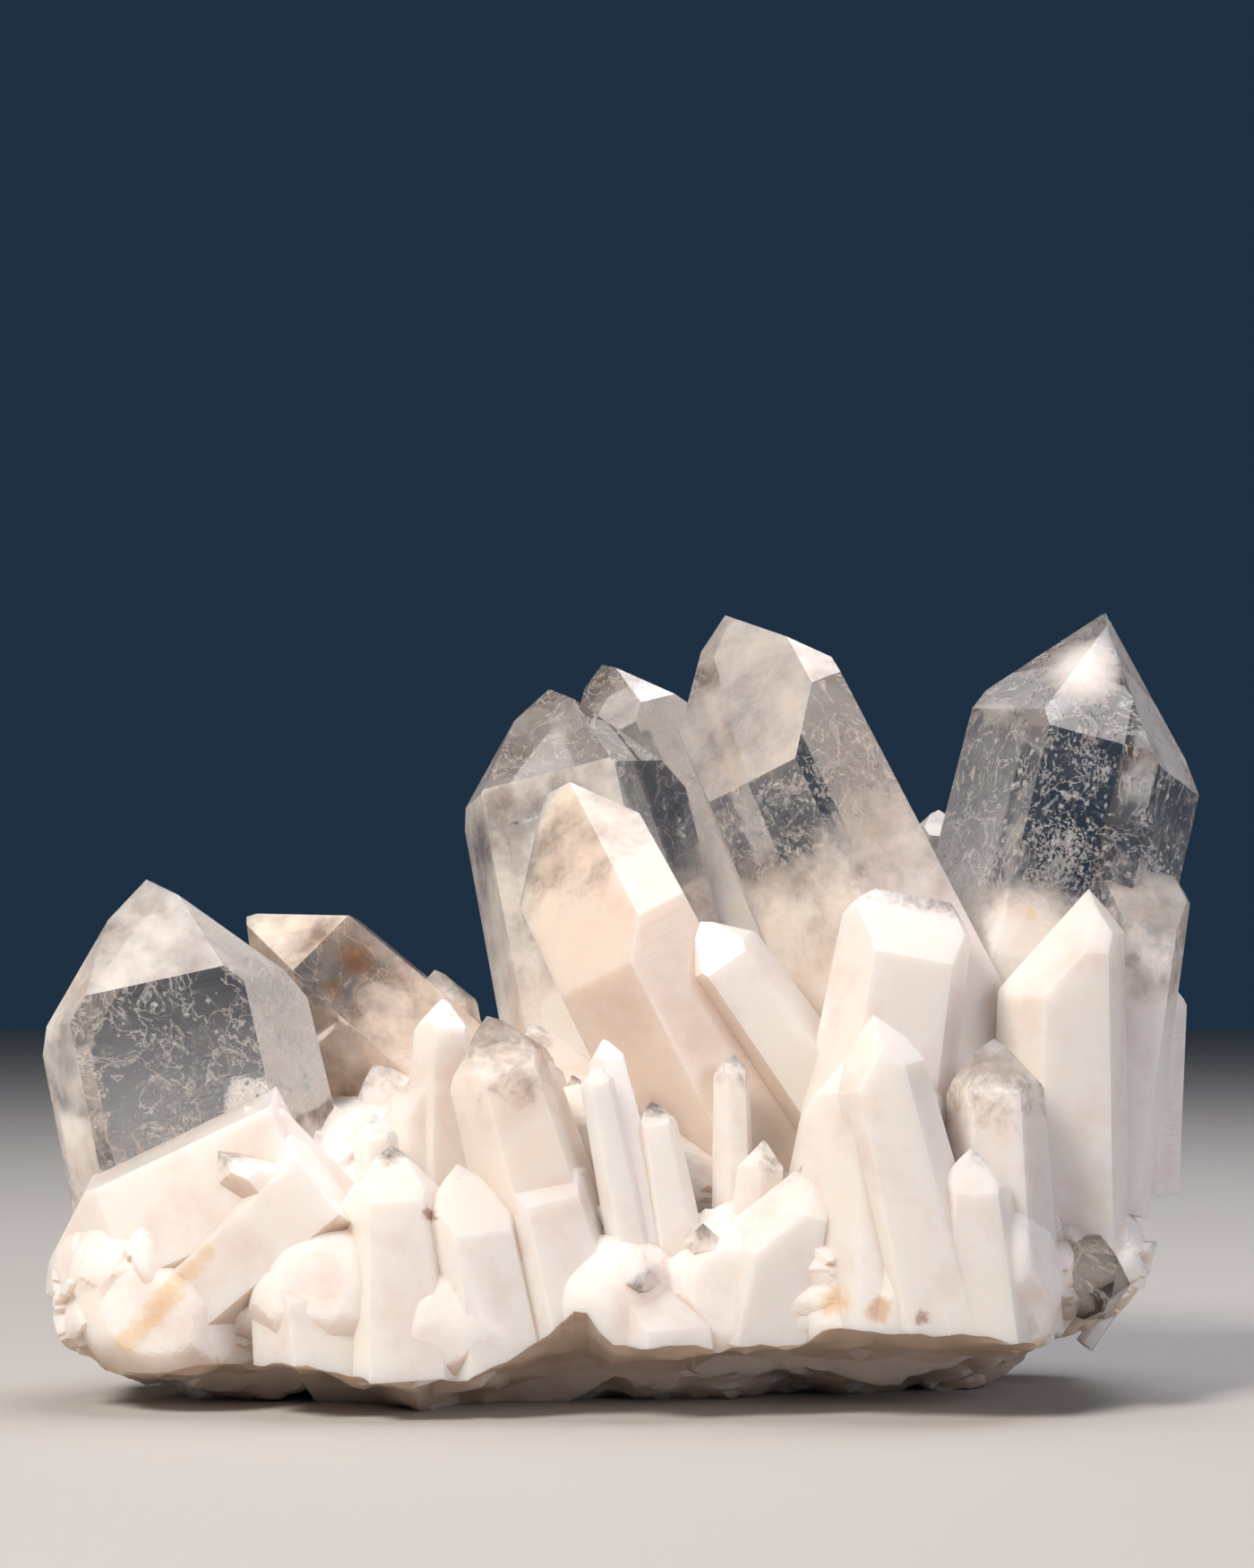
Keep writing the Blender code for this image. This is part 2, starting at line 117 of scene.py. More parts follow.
SMALL = (
    ("needle_a", (-3.8, -24, 39.7), (2.3, -26, 9), 1.7, 1.0, 10, "even", 1.5),
    ("needle_b", (-2.8, -20, 42.6), (4.0, -23, 9), 2.1, 1.0, 25, "even", 4.0),
    ("needle_c", (2.8, -21, 35.4), (7.4, -24, 8), 2.4, 1.0, 5, "even", 3.0),
    ("needle_d", (12.2, -18, 40.9), (12.5, -20, 10), 1.9, 1.0, 15, "even", 1.2),
    ("bud", (15.8, -20, 31.0), (13.5, -22, 8), 2.6, 1.0, 30, "point", 1.2),
    ("block", (18.6, -24, 29.6), (14.0, -24, 8), 6.2, 0.9, 18, "left", 3.0),
    ("nub", (8.6, -29, 22.0), (9, -24, 13), 2.1, 1.0, 0, "point", 1.2),
    ("tip_out", (0.6, -32.5, 15.4), (3, -20, 18), 2.5, 1.0, 30, "point", 1.2),
    ("slim_left", (-29.3, -20, 34.0), (-27, -22, 6), 2.3, 1.0, 8, "even", 1.2),
    ("slim_left_back", (-25.6, -13, 39.6), (-22, -15, 6), 3.2, 1.0, 22, "left", 1.2),
    ("column_left", (-27.2, -24, 30.6), (-25.4, -26, 4), 5.2, 1.0, 6, "even", 6.0),
    ("yellow_chip", (-18.6, -26, 28.6), (-15.0, -26, 5), 4.8, 1.0, 16, "front", 5.0),
    ("column_low", (-21.0, -26, 20.0), (-20, -24, 3), 6.4, 1.0, 0, "front", 4.0),
    ("column_mid", (-11.6, -24, 32.5), (-5, -25, 6), 5.2, 1.0, 14, "front", 4.0),
    ("column_right", (2.9, -26, 22.0), (3.6, -26, 6), 6.6, 1.0, 20, "front", 3.5),
)
LYING = (
    ("left_lying", (-68.4, -13, 12.4), (-37, -15, 26.5), 10.4, 0.9, 20, "even", 1.2),
    ("left_lying_front", (-57.5, -18, 5.6), (-34, -22, 26), 5.8, 1.0, 8, "even", 2.0),
    ("left_ridge", (-46.6, -17, 33.2), (-27, -17, 12), 4.8, 1.0, 0, "left", 1.2),
    ("left_cross", (-45.6, -23, 31.2), (-28, -22, 12), 3.8, 1.0, 10, "right", 1.2),
    ("left_column", (-37.0, -22, 25.5), (-34, -23, 4), 7.0, 1.0, 12, "front", 4.0),
    ("left_end_back", (-64.0, 6, 22.0), (-36, 6, 18), 7.6, 0.9, 0, "even", 1.2),
)
BACK = (
    ("back_left_a", (-34.0, 32, 50.0), (-20, 18, 8), 6.2, 1.0, 40, "even", 1.2),
    ("back_left_b", (-50.0, 28, 36.0), (-26, 16, 10), 5.4, 0.9, 12, "even", 1.2),
    ("back_left_c", (-24.0, 42, 38.0), (-14, 18, 8), 5.8, 1.0, 30, "left", 1.2),
    ("back_mid_a", (-4.0, 44, 58.0), (2, 18, 8), 7.0, 0.9, 16, "even", 1.2),
    ("back_mid_b", (13.0, 46, 42.0), (8, 18, 8), 5.0, 1.0, 50, "right", 1.2),
    ("back_mid_c", (24.0, 40, 60.0), (18, 18, 8), 5.6, 1.0, 10, "even", 1.2),
    ("back_right_a", (38.0, 42, 46.0), (28, 16, 8), 6.0, 0.9, 20, "even", 1.2),
    ("back_right_b", (54.0, 34, 56.0), (38, 14, 8), 6.4, 1.0, 8, "even", 1.2),
    ("back_right_c", (61.0, 24, 36.0), (40, 10, 10), 5.6, 1.0, 44, "left", 1.2),
    ("back_low_a", (-12.0, 43, 20.0), (-8, 18, 12), 5.2, 1.0, 0, "even", 1.2),
    ("back_low_b", (26.0, 43, 22.0), (20, 16, 10), 5.0, 1.0, 25, "even", 1.2),
    ("back_low_c", (-40.0, 34, 18.0), (-22, 14, 12), 5.0, 1.0, 15, "even", 1.2),
    ("top_fill_a", (-31.0, 4, 39.0), (-18, 4, 8), 6.4, 1.0, 12, "even", 1.2),
    ("top_fill_b", (-12.0, 2, 44.0), (-2, 2, 8), 6.2, 1.0, 35, "even", 1.2),
    ("top_fill_c", (24.0, 2, 44.0), (20, 2, 8), 8.0, 1.0, 22, "front", 1.2),
    ("top_fill_d", (44.0, -2, 46.0), (38, -2, 8), 7.2, 1.0, 5, "even", 1.2),
)

# Rough lumps of the base in millimetres: centre, half sizes, seed
LUMPS = (
    ((-6.0, 7.0, 9.0), (42.0, 27.0, 13.0), 3),
    ((28.0, 8.0, 11.0), (32.0, 25.0, 12.5), 11),
    ((-43.0, -4.0, 12.5), (23.5, 20.0, 12.5), 23),
    ((-20.0, -15.0, 8.0), (20.0, 15.5, 11.0), 31),
    ((20.0, -14.0, 12.5), (26.0, 15.5, 8.5), 47),
    ((48.0, -6.0, 15.5), (13.5, 17.0, 9.5), 59),
    ((2.0, -16.0, 11.5), (17.0, 13.5, 8.0), 71),
    ((4.0, 1.0, 20.0), (50.0, 20.0, 19.0), 83),
    ((-34.0, 2.0, 20.0), (19.0, 16.0, 15.0), 97),
    ((-55.5, -13.0, 12.5), (12.5, 13.0, 11.0), 103),
    ((-20.0, -18.5, 13.0), (27.0, 10.0, 11.0), 109),
    ((23.0, -18.5, 14.0), (29.0, 10.5, 11.5), 127),
)

# Flat breaks on a lump: how many, and how far from its middle the nearest and the farthest lie, as
# shares of its size
BREAKS = 18
BREAK_NEAR = 0.80
BREAK_FAR = 0.98

# Relief of the broken stone in millimetres: size of its waves, and how far they stand out
BROAD_WAVE = 13.0
BROAD_RELIEF = 2.2
FINE_WAVE = 4.2
FINE_RELIEF = 0.9

# The broken underside rises from the flat cut towards the rim. Along the front rim: place along X, level
# of the lowest stone seen from the front, and level of the rim above it, all in millimetres.
RIM = (
    (-75.0, 5.0, 9.0),
    (-55.0, 3.4, 5.0),
    (-47.0, 4.6, 6.5),
    (-35.0, 4.8, 6.0),
    (-29.0, 2.4, 4.0),
    (-24.0, -1.0, 3.6),
    (-18.0, 0.8, 5.4),
    (-12.0, 3.0, 7.6),
    (-5.0, 4.8, 12.0),
    (-2.0, 4.9, 7.8),
    (7.5, 4.7, 9.0),
    (14.0, 6.4, 8.2),
    (25.0, 6.6, 10.0),
    (36.0, 6.0, 10.0),
    (49.0, 6.6, 8.6),
    (56.0, 8.6, 10.0),
    (75.0, 12.0, 14.0),
)
RIM_FRONT = -31.0
RIM_INNER = -17.0
CUT_FRONT = -12.0
CUT_BACK = 26.0
RIM_BACK = 44.0
BACK_RISE = 8.0
CUT_SIDE = 52.0
SIDE_RISE = 0.45

# The underside's grid in millimetres: first and last place along X and Y, distance between points, level
# well below the stone, level under the flat cut, and the level above which the break is rough
UNDERSIDE_X = (-78.0, 78.0)
UNDERSIDE_Y = (-48.0, 54.0)
UNDERSIDE_STEP = 1.5
UNDERSIDE_FLOOR = -40.0
UNDER_CUT = -2.0
ROUGH_ABOVE = -1.0

# The middle of the stone's box in the coordinates of the crystal rows, in millimetres
STONE_MIDDLE = (0.422, 6.578, 0.0)

# Small flat breaks of the rough stone: their size in millimetres and their slope, the size and relief of the
# crumb on them in millimetres, and how much of all this the underside has
GRAIN_SIZE = 4.5
GRAIN_TILT = 0.42
CRUMB_WAVE = 1.3
CRUMB_RELIEF = 0.12
UNDERSIDE_GRAIN = 0.6

# How finely a rough lump is divided
LUMP_SUBDIVISIONS = 6
OVERGROWTH_SUBDIVISIONS = 5
CORE_SUBDIVISIONS = 4

# Milky quartz that grew over the feet of the front crystals: centre, half sizes in millimetres, seed.
# It is smoother than the broken stone.
OVERGROWTH = (
    ((-34.0, -24.0, 12.0), (9.5, 7.2, 10.5), 211),
    ((-21.0, -26.0, 9.0), (9.5, 6.4, 8.0), 223),
    ((-2.0, -25.5, 11.0), (10.0, 6.6, 9.5), 227),
    ((11.0, -25.0, 13.0), (8.0, 6.2, 8.5), 229),
    ((31.0, -26.0, 12.0), (12.0, 6.4, 9.0), 233),
    ((42.0, -25.0, 15.0), (8.0, 6.2, 9.5), 241),
    ((-52.0, -19.5, 11.0), (11.0, 8.0, 9.0), 239),
)
OVERGROWTH_RELIEF = 0.3

# Slimmer crystals grew side by side with a wide one and left steps on its faces. There are two of them from
# the first half width on and three from the second, in millimetres.
STEPS_FROM = 4.0
MORE_STEPS_FROM = 7.0

# How wide a slim one is and how far below the summit it ends, as shares of the wide one's half width, and how
# far aside it stands, as a share of the difference between the two half widths
STEP_WIDTHS = (0.62, 0.84)
STEP_DROPS = (0.5, 2.2)
STEP_SHIFTS = (0.9, 1.10)

# Where a crystal is clear, in millimetres below its summit: clear down to, milky from; then haze of its
# faces and tan, 0 to 1
CLARITY = {
    "tall_centre": (27, 44, 0.06, 0.30),
    "tall_right": (32, 54, 0.04, 0.08),
    "left_large": (27, 40, 0.06, 0.15),
    "back_pair_a": (20, 42, 0.22, 0.10),
    "back_pair_b": (18, 40, 0.25, 0.10),
    "mid_centre": (1, 14, 0.80, 0.60),
    "left_back": (13, 30, 0.25, 0.60),
    "back_small": (-2, 8, 0.55, 0.20),
    "tiny_back": (2, 12, 0.35, 0.15),
    "front_left_centre": (0, 9, 0.55, 0.35),
    "front_right": (1, 10, 0.50, 0.20),
    "right_small": (5, 16, 0.25, 0.10),
    "right_behind": (3, 14, 0.40, 0.10),
    "gap_stub": (0, 10, 0.60, 0.45),
    "smoky_end": (5, 14, 0.10, 0.60),
    "back_mid_a": (10, 26, 0.25, 0.15),
    "back_mid_c": (8, 24, 0.25, 0.15),
    "back_right_b": (10, 24, 0.20, 0.10),
    "back_right_a": (6, 18, 0.25, 0.15),
    "back_left_a": (6, 18, 0.25, 0.15),
}

# The same for every other crystal and for the rough stone
MILKY = (-6, 2, 0.8, 0.12)

# Haze of single faces, 0 to 1. Even numbers are side faces and odd ones end faces, round from the front
# to the right.
FACE_HAZE = {
    ("left_large", 1): 0.62,
    ("left_large", 3): 0.30,
    ("left_large", 11): 0.60,
    ("left_large", 10): 0.60,
    ("left_large", 2): 0.25,
    ("tall_centre", 1): 0.42,
    ("tall_centre", 3): 0.60,
    ("tall_centre", 0): 0.12,
    ("tall_centre", 2): 0.05,
    ("tall_centre", 10): 0.45,
    ("tall_right", 10): 0.15,
    ("tall_right", 11): 0.15,
    ("tall_right", 3): 0.45,
    ("back_pair_a", 0): 0.75,
    ("back_pair_a", 10): 0.62,
    ("back_pair_a", 2): 0.08,
    ("back_pair_a", 3): 0.08,
    ("left_back", 1): 0.85,
    ("left_back", 3): 0.60,
}

# How strongly the growth lines show on these side faces and on all others, 0 to 1, and how far apart they
# lie in millimetres
GROWTH_LINES = {
    ("mid_centre", 2): 1.0,
    ("mid_centre", 0): 0.7,
    ("left_back", 2): 0.9,
    ("right_shadow", 2): 1.0,
    ("tall_centre", 0): 0.35,
    ("front_wide", 0): 0.5,
    ("left_column", 0): 0.5,
}
FAINT_LINES = 0.18
LINE_SPACING = 0.55

# White flakes of bubbles inside a clear crystal: how many, and between which depths in millimetres
SNOW = {
    "tall_right": (1000, 6, 52),
    "left_large": (640, 8, 40),
    "tall_centre": (640, 14, 44),
    "back_pair_a": (280, 10, 42),
    "left_back": (110, 6, 28),
}

# Half sizes of a flake of snow in millimetres: the least, how much more the largest have, how rare large ones
# are, and how uneven each is
SNOW_LEAST = 0.10
SNOW_MORE = 0.42
SNOW_RARITY = 2.5
SNOW_SHAPE = (0.5, 1.4)

# Healed cracks inside a crystal, seen as flat veils of flakes: crystal, depth, direction it faces, flakes
VEILS = (
    ("tall_right", 20, (0.5, -0.2, 0.85), 160),
    ("tall_right", 31, (-0.7, 0.3, 0.6), 320),
    ("tall_right", 36, (0.9, -0.4, 0.3), 260),
    ("tall_right", 40, (0.2, -0.5, 0.8), 320),
    ("left_large", 20, (0.6, 0.1, 0.8), 160),
    ("left_large", 26, (0.8, -0.4, 0.4), 220),
    ("left_large", 31, (-0.4, -0.3, 0.85), 260),
    ("tall_centre", 24, (0.3, 0.2, 0.9), 180),
    ("tall_centre", 33, (-0.6, -0.3, 0.7), 260),
    ("back_pair_a", 24, (-0.3, 0.2, 0.9), 160),
)

# Half sizes of a flake of a veil in millimetres, and the spread of the veil across the crystal as shares of
# its half width
VEIL_LENGTHS = (0.3, 1.3)
VEIL_BREADTHS = (0.06, 0.22)
VEIL_THICKNESS = 0.03
VEIL_SPREAD = (0.55, 0.16)

# The least depth of a flake below the skin of its crystal in millimetres, in snow and in veils
SNOW_DEPTH = 0.9
VEIL_DEPTH = 0.8

# Stains of iron in the stone, and two patches of painted shade: the dark brown one under the left rim and the last,
# grey one. Place and radius in millimetres, colour, strength
STAINS_AND_SHADE = (
    ((-31.3, 7, 53.4), 3.2, "#C88550", 0.8),
    ((-36.5, 7, 56.2), 2.2, "#DDAE85", 0.6),
    ((-34.3, 7, 49.9), 2.0, "#E5BC7C", 0.7),
    ((-55.2, -25, 9.8), 1.9, "#EBC78E", 0.5),
    ((-53.6, -25, 11.4), 1.9, "#EBC78E", 0.5),
    ((-52.1, -25, 13.0), 2.0, "#E8BC78", 0.5),
    ((-50.8, -25, 14.7), 2.0, "#E8BC78", 0.5),
    ((-49.4, -25, 16.5), 2.0, "#E8BC78", 0.5),
    ((-47.9, -25, 18.2), 1.9, "#EBC78E", 0.5),
    ((-46.3, -25, 19.8), 1.8, "#EBC78E", 0.4),
    # Painted shade: a dark brown patch on the underside below the left rim, where it lies in shadow
    ((-43.9, -25, 5.0), 3.4, "#9A6A42", 0.7),
    ((25.0, -31, 15.0), 2.6, "#E2B878", 0.6),
    ((30.0, -31, 14.2), 1.9, "#C99A5E", 0.6),
    ((34.9, -31, 13.5), 1.1, "#8A5A35", 0.6),
    ((50.0, -3, 58.8), 1.2, "#EBCB8C", 0.35),
    ((-20.5, -27, 24.8), 1.1, "#9A6A48", 0.7),
    # Painted shade: grey on the lower right end, which lies in shadow under the crystals above it
    ((55.0, -22, 12.8), 6.0, "#A39A93", 0.6),
)

# Frosted places on clear faces: place and radius in millimetres, strength
FROSTS = (
    ((57.5, 2, 89.7), 6.5, 0.85),
    ((49.0, -4, 56.5), 8.0, 0.95),
    ((46.5, 4, 84.0), 4.0, 0.35),
    ((-68.0, -6, 46.0), 5.0, 0.8),
)

# Small points on the rough base, in millimetres: how many places are tried, their half widths, how far each
# stands out as a share of its half width, how deep its foot lies, and the least X of the middle of a lump
# and the least height of a place that carry one
DRUSE_POINTS = 46
DRUSE_WIDTHS = (0.7, 2.0)
DRUSE_RISES = (0.8, 2.6)
DRUSE_FOOT = 6.0
DRUSE_FROM = -50.0
DRUSE_ABOVE = 9.0

# Where the random draws start, so that every run grows the same stone
SEED = 7

# The kind of each face, as it is painted on the stone, and the length that a painted depth of one stands for
ROUGH_BREAK, END_FACE, PRISM_FACE = 0.0, 0.5, 1.0
PAINTED_LENGTH = 100

# How many plane numbers a crystal takes up, how far in millimetres a face may lie off its plane, the least
# cosine between the two, and the angle from which an edge of the stone is sharp
PLANE_SLOTS = 16
FACE_TOLERANCE = 0.08
SAME_WAY = 0.998
SHARP_FROM = math.radians(18)

# The milky core, in millimetres: how far it lies below the skin and at least below a summit, the size of its
# mesh's cells, and the depth of the clouds on it. Its lumps are this share of the rough ones.
CORE_INSET = 0.9
CORE_BELOW_SUMMIT = 2.5
CORE_VOXEL = 1.3
CORE_CLOUD = 0.6
CORE_SHARE = 0.86

# The camera's focal length and how far the horizon lies below the middle, in pixels of a picture 1750 high,
# its distance and height in millimetres, and the height of its sensor, also in millimetres
FOCAL_PIXELS = 4423.6
HORIZON_PIXELS = 175
PICTURE_HEIGHT = 1750
CAMERA_DISTANCE = 480
CAMERA_HEIGHT = 54
SENSOR_HEIGHT = 36.0

# Soft square lights: name, place and side in metres, watts, colour. They shine at the middle of the stone, at
# this height in metres.
LIGHTS = (
    ("key", (-0.42, -0.42, 0.62), 0.26, 7.2, "#FFF4E8"),
    ("top", (0.15, 0.25, 0.75), 0.55, 4.5, "#FCF7FC"),
    ("front_right", (0.75, -0.75, 0.40), 0.50, 3.4, "#F6F2FA"),
)
LIT_HEIGHT = 0.045


def unit(vector):
    """The vector at length one."""
    return np.asarray(vector, float) / np.linalg.norm(vector)


def axis_frame(tip, foot):
    """The crystal's own directions: along the axis, to its front and to its right."""
    along = unit(np.subtract(tip, foot))
    guide = np.array((0.0, -1.0, 0.0))
    if abs(along @ guide) > 0.8:
        guide = np.array((0.0, 0.0, 1.0))
    front = unit(guide - (guide @ along) * along)
    return along, front, np.cross(along, front)


def crystal_planes(row, seed):
    """Outward normals and offsets of the side faces, the end faces and the foot of one crystal."""
    name, tip, foot, half_width, flat, turn, cap, taper = row
    along, front, right = axis_frame(tip, foot)
    lean = math.radians(taper)
    spread = np.random.default_rng(seed).uniform(-SIDE_SPREAD, SIDE_SPREAD, SIDES)
    tip, foot = np.asarray(tip, float), np.asarray(foot, float)
    shoulder = tip - along * half_width * math.tan(CAP_TILT)
    normals, offsets = [], []
    for k in range(SIDES):
        angle = math.radians(360 / SIDES * k + turn)
        out = math.cos(angle) * front + math.sin(angle) * right
        reach = half_width * (1 + spread[k]) * (flat if k % 3 == 0 else 1)
        side = math.cos(lean) * out + math.sin(lean) * along
        normals.append(side)
        offsets.append(side @ (shoulder + out * reach))
        end = math.cos(CAP_TILT) * along + math.sin(CAP_TILT) * out
        normals.append(end)
        offsets.append(end @ (tip + along * CAPS[cap][k] * half_width))
    normals.append(-along)
    offsets.append(-along @ foot)
    return np.array(normals), np.array(offsets)


def corners_of(normals, offsets):
    """Corners of the solid that lies inside every plane."""
    count = len(normals)
    triples = np.array([(i, j, k) for i in range(count) for j in range(i + 1, count) for k in range(j + 1, count)])
    matrices = normals[triples]
    sound = np.abs(np.linalg.det(matrices)) > 1e-6
    points = np.linalg.solve(matrices[sound], offsets[triples[sound]][..., None])[..., 0]
    inside = (points @ normals.T <= offsets + 1e-6).all(axis=1)
    return np.unique(np.round(points[inside], 5), axis=0)


def settled_planes(row, seed):
    """The planes of one crystal with its summit at the level that the row gives, and cut above the stand."""
    normals, offsets = crystal_planes(row, seed)
    along = axis_frame(row[1], row[2])[0]
    rise = (corners_of(normals, offsets) @ along).max() - np.asarray(row[1], float) @ along
    offsets[:-1] -= rise * (normals[:-1] @ along)
    return np.vstack((normals, (0.0, 0.0, -1.0))), np.append(offsets, -LOWEST_CRYSTAL)


def mesh_object(name, mesh_builder, collection=None):
    """A new object that holds the mesh."""
    mesh = bpy.data.meshes.new(name)
    mesh_builder.to_mesh(mesh)
    mesh_builder.free()
    made = bpy.data.objects.new(name, mesh)
    (collection or bpy.context.scene.collection).objects.link(made)
    return made


def plane_solid(name, normals, offsets, collection):
    """The closed solid inside the planes, in metres."""
    work = bmesh.new()
    for corner in corners_of(normals, offsets):
        work.verts.new(Vector(corner) * MM)
    hull = bmesh.ops.convex_hull(work, input=work.verts)
    inner = [item for item in hull["geom_interior"] if isinstance(item, bmesh.types.BMVert)]
    bmesh.ops.delete(work, geom=inner, context="VERTS")
    bmesh.ops.recalc_face_normals(work, faces=work.faces)
    return mesh_object(name, work, collection)


def growth_steps(row, number):
    """The crystal and the slimmer ones that grew side by side with it, which leave steps on its faces."""
    name, tip, foot, half_width, flat, turn, cap, taper = row
    if half_width < STEPS_FROM:
        return [row]
    chance = np.random.default_rng(SEED + number)
    along, front, right = axis_frame(tip, foot)
    rows = [row]
    for step in range(2 if half_width < MORE_STEPS_FROM else 3):
        angle = chance.uniform(0, 2 * math.pi)
        width = half_width * chance.uniform(*STEP_WIDTHS)
        shift = (half_width - width) * chance.uniform(*STEP_SHIFTS)
        aside = (math.cos(angle) * front * flat + math.sin(angle) * right) * shift
        drop = half_width * chance.uniform(*STEP_DROPS)
        summit = tuple(np.asarray(tip) + aside - along * drop)
        rows.append((f"{name}_{step}", summit, tuple(np.asarray(foot) + aside), width, flat, turn, cap, taper))
    return rows


def break_planes(seed):
    """Outward directions and distances of the flat breaks on a lump of size one."""
    chance = np.random.default_rng(seed)
    ways = chance.normal(size=(BREAKS, 3))
    ways /= np.linalg.norm(ways, axis=1)[:, None]
    return ways, chance.uniform(BREAK_NEAR, BREAK_FAR, BREAKS)


def grain_relief(point):
    """How far the broken surface stands out here: small flat breaks with fine crumb on them."""
    scaled = point / GRAIN_SIZE
    cell = noise.voronoi(scaled)[1][0]
    tilt = noise.noise_vector(cell * 5.3)
    crumb = noise.noise(point / CRUMB_WAVE) * CRUMB_RELIEF
    return (scaled - cell).dot(tilt) * GRAIN_TILT * GRAIN_SIZE + crumb


def rough_lump(name, lump, collection, subdivisions, grain=True, share=1.0, relief=1.0):
    """A lump of milky quartz with flat breaks and, where it has grain, small breaks and crumb."""
    centre, half_sizes, seed = lump
    half_sizes = np.array(half_sizes) * share
    work = bmesh.new()
    bmesh.ops.create_icosphere(work, subdivisions=subdivisions, radius=1.0)
    ways = np.array([vert.co.normalized() for vert in work.verts])
    planes, distances = break_planes(seed)
    reach = np.minimum(1.0, (distances / np.maximum(ways @ planes.T, 1e-6)).min(axis=1))
    points = ways * reach[:, None] * half_sizes + centre
    outward = ways / half_sizes
    outward /= np.linalg.norm(outward, axis=1)[:, None]
    shift = Vector((seed * 3.7, seed * 1.9, seed * 5.3))
    for vert, point, way in zip(work.verts, points, outward):
        point = Vector(point)
        stand = noise.noise(point / BROAD_WAVE + shift) * BROAD_RELIEF
        stand += noise.noise(point / FINE_WAVE - shift) * FINE_RELIEF
        if grain:
            stand += grain_relief(point)
        vert.co = (point + Vector(way) * stand * relief) * MM
    return mesh_object(name, work, collection)


def rim_levels(x):
    """The level of the lowest stone and of the rim at this place along the front."""
    places, low, high = np.array(RIM).T
    return np.interp(x, places, low), np.interp(x, places, high)


def underside_level(x, y):
    """How high the broken underside lies here; below zero where the stone is cut flat."""
    low, high = rim_levels(x)
    front = np.interp(y, (RIM_FRONT, RIM_INNER, CUT_FRONT), (high, low, UNDER_CUT))
    back = np.interp(y, (CUT_BACK, RIM_BACK), (UNDER_CUT, BACK_RISE))
    side = (abs(x) - CUT_SIDE) * SIDE_RISE + UNDER_CUT
    point = Vector((x, y, 0.0))
    rough = noise.noise(point / FINE_WAVE) * FINE_RELIEF + noise.noise(point / BROAD_WAVE) * FINE_RELIEF
    level = max(front, back, side)
    return level + rough + UNDERSIDE_GRAIN * grain_relief(point) if level > ROUGH_ABOVE else level


def grid_places(ends):
    """Evenly spaced places from the first to the last end."""
    first, last = ends
    return np.linspace(first, last, round((last - first) / UNDERSIDE_STEP) + 1)


def make_underside():
    """Everything below the broken underside, as a solid to take away."""
    xs = grid_places(UNDERSIDE_X)
    ys = grid_places(UNDERSIDE_Y)
    work = bmesh.new()
    top = [[work.verts.new(Vector((x, y, underside_level(x, y))) * MM) for y in ys] for x in xs]
    floor = [[work.verts.new(Vector((x, y, UNDERSIDE_FLOOR)) * MM) for y in ys] for x in xs]
    for i in range(len(xs) - 1):
        for j in range(len(ys) - 1):
            for sheet in (top, floor):
                work.faces.new((sheet[i][j], sheet[i + 1][j], sheet[i + 1][j + 1], sheet[i][j + 1]))
    rims = [[(i, 0), (i + 1, 0)] for i in range(len(xs) - 1)]
    rims += [[(i, len(ys) - 1), (i + 1, len(ys) - 1)] for i in range(len(xs) - 1)]
    rims += [[(0, j), (0, j + 1)] for j in range(len(ys) - 1)]
    rims += [[(len(xs) - 1, j), (len(xs) - 1, j + 1)] for j in range(len(ys) - 1)]
    for (a, b), (c, d) in rims:
        work.faces.new((top[a][b], top[c][d], floor[c][d], floor[a][b]))
    bmesh.ops.triangulate(work, faces=work.faces)
    bmesh.ops.recalc_face_normals(work, faces=work.faces)
    return mesh_object("underside", work)


def druse_rows():
    """Small points that stand out of the rough base all round."""
    chance = np.random.default_rng(SEED)
    rows = []
    for number in range(DRUSE_POINTS):
        centre, half_sizes, seed = LUMPS[chance.integers(len(LUMPS))]
        if centre[0] < DRUSE_FROM:
            continue
        way = unit(chance.normal(size=3) * (1.0, 1.0, 0.5) + (0.0, -0.35, 0.45))
        seat = np.array(centre) + way * half_sizes
        if seat[2] < DRUSE_ABOVE:
            continue
        axis = unit(way * (0.8, 0.8, 0.6) + (0.0, 0.0, 0.7) + chance.normal(size=3) * 0.25)
        width = chance.uniform(*DRUSE_WIDTHS)
        rise = width * chance.uniform(*DRUSE_RISES)
        rows.append((f"druse_{number}", tuple(seat + axis * rise), tuple(seat - axis * DRUSE_FOOT), width, 1.0,
                     chance.uniform(0, 60), "even", 2.0))
    return rows


def all_rows():
    """Every crystal of the cluster in one list."""
    return TALL + MIDDLE + SMALL + LYING + BACK


def boolean(target, operation, other=None, collection=None):
    """Joins other closed meshes to the target, or takes one away."""
    modifier = target.modifiers.new(operation.lower(), "BOOLEAN")
    modifier.operation = operation
    modifier.solver = "MANIFOLD"
    if collection:
        modifier.operand_type = "COLLECTION"
        modifier.collection = collection
    else:
        modifier.object = other
    bpy.context.view_layer.objects.active = target
    bpy.ops.object.modifier_apply(modifier=modifier.name)
    for used in list(collection.objects) if collection else [other]:
        bpy.data.objects.remove(used)
    if collection:
        bpy.data.collections.remove(collection)


def gathered(name):
    """A new collection for the solids that are about to be joined."""
    made = bpy.data.collections.new(name)
    bpy.context.scene.collection.children.link(made)
    return made


